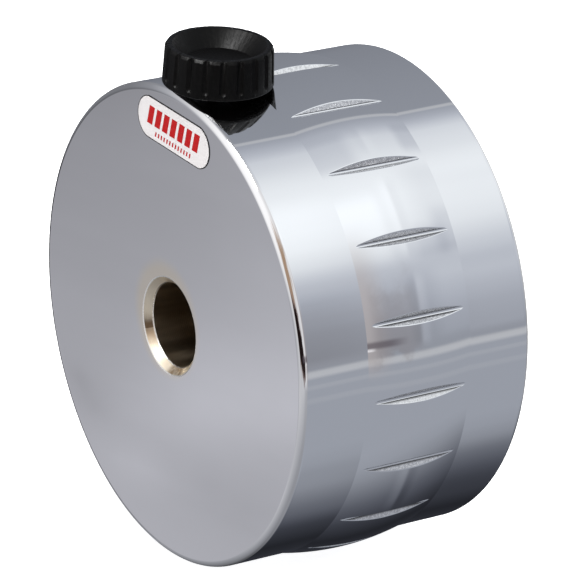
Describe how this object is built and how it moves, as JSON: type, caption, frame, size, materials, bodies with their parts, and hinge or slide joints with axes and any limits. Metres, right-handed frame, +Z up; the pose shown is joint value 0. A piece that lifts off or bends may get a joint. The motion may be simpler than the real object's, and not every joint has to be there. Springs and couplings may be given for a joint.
{
  "type": "telescope mount counterweight",
  "caption": "Round polished steel counterweight with a central bar bore, a notched grip band and a radial clamp knob that presses a captive pad on the bar.",
  "frame": {"origin": "centre of the bar bore, half way along the body", "axes": "+Y along the bore towards the rear face, so the labelled front face looks along -Y; +Z up along the clamp screw towards the knob"},
  "size_m": [0.1182, 0.0649, 0.1275],
  "materials": {
    "polished_chrome": "polished",
    "white_label": "glossy",
    "black_plastic": "satin",
    "brass": "turned",
    "zinc_steel": "satin",
    "spring_steel": "dark"
  },
  "bodies": {
    "weight": {"weight_body": "polished_chrome", "face_label": "white_label"},
    "clamp_pad": {"thrust_pad": "brass", "pad_snap_ring": "spring_steel"},
    "clamp_knob": {"knob_grip": "black_plastic", "knob_insert": "brass", "clamp_stud": "zinc_steel"}
  },
  "joints": [
    {"name": "pad_travel", "type": "slide", "parent": "weight", "child": "clamp_pad", "axis": [0, 0, 1], "range_m": [-0.00016, 0.00375]},
    {"name": "knob_turn", "type": "hinge", "parent": "clamp_pad", "child": "clamp_knob", "pos_m": [0, -0.0208, 0.0586], "axis": [0, 0, 1], "range_deg": [-46, 1081]}
  ],
  "couplings": [
    {"joint": "knob_turn", "follows": "pad_travel", "rad_per_m": 5026.5}
  ]
}
